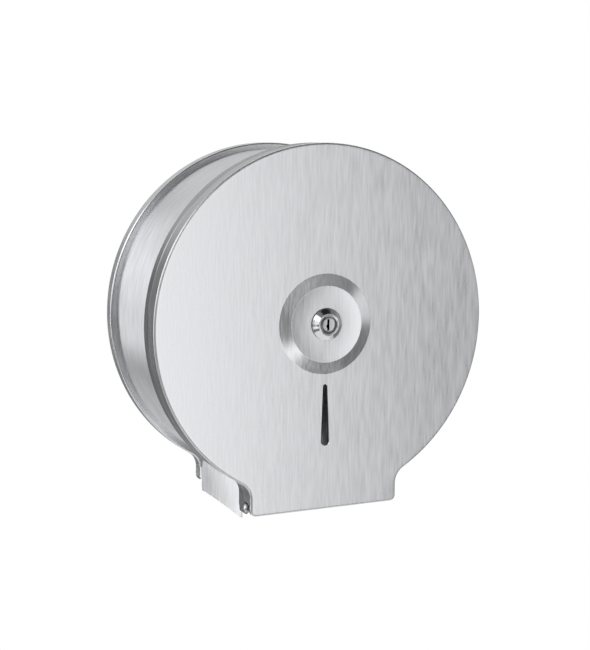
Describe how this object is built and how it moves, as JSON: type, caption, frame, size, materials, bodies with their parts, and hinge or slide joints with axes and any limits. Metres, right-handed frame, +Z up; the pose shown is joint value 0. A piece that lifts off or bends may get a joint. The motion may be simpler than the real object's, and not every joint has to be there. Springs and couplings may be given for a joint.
{
  "type": "toilet roll dispenser",
  "caption": "Wall-hung round stainless drum for a jumbo toilet roll, with a lockable front cover hinged at its foot and a sleeved spindle.",
  "frame": {"origin": "on the wall plane, at the centre of the four wall screws, which is also on the drum's axis", "axes": "+Z up the wall, +Y into the wall, so the front faces -Y, +X to the right seen from the front"},
  "size_m": [0.27, 0.1245, 0.2837],
  "materials": {
    "cover_steel": "vertical brushed grain",
    "drum_steel": "satin, grain round the drum",
    "pan_steel": "satin",
    "rim_steel": "satin, grain round the drum",
    "plate_steel": "satin",
    "spindle_steel": "satin",
    "rivet_steel": "plain",
    "bracket_steel": "plain",
    "lock_chrome": "polished",
    "lock_steel": "bright zinc plated",
    "sleeve_plastic": "moulded",
    "washer_plastic": "moulded"
  },
  "bodies": {
    "body": {"back_pan": "pan_steel", "drum_wall": "drum_steel", "front_rim": "rim_steel", "left_tear_plate": "plate_steel", "right_tear_plate": "plate_steel", "spindle_base": "spindle_steel", "spindle_tube": "spindle_steel", "spindle_end_plate": "spindle_steel", "base_rivets": "rivet_steel"},
    "sleeve": {"core_sleeve": "sleeve_plastic"},
    "cover": {"front_cover": "cover_steel", "left_hinge_bracket": "bracket_steel", "right_hinge_bracket": "bracket_steel", "left_hinge_rivet": "rivet_steel", "right_hinge_rivet": "rivet_steel", "left_hinge_washer": "washer_plastic", "right_hinge_washer": "washer_plastic", "lock_barrel": "lock_chrome", "lock_washer": "lock_steel", "lock_nut": "lock_steel"},
    "lock_core": {"lock_plug": "lock_chrome", "lock_cam": "lock_steel", "cam_washer": "lock_steel", "cam_screw": "lock_steel"}
  },
  "joints": [
    {"name": "cover_hinge", "type": "hinge", "parent": "body", "child": "cover", "pos_m": [0, -0.107, -0.138], "axis": [1, 0, 0], "range_deg": [0, 110]},
    {"name": "lock_turn", "type": "hinge", "parent": "cover", "child": "lock_core", "pos_m": [0, -0.1, 0], "axis": [0, 1, 0], "range_deg": [0, 90]},
    {"name": "sleeve_spin", "type": "hinge", "parent": "body", "child": "sleeve", "pos_m": [0, -0.056, 0], "axis": [0, 1, 0], "continuous": true}
  ]
}
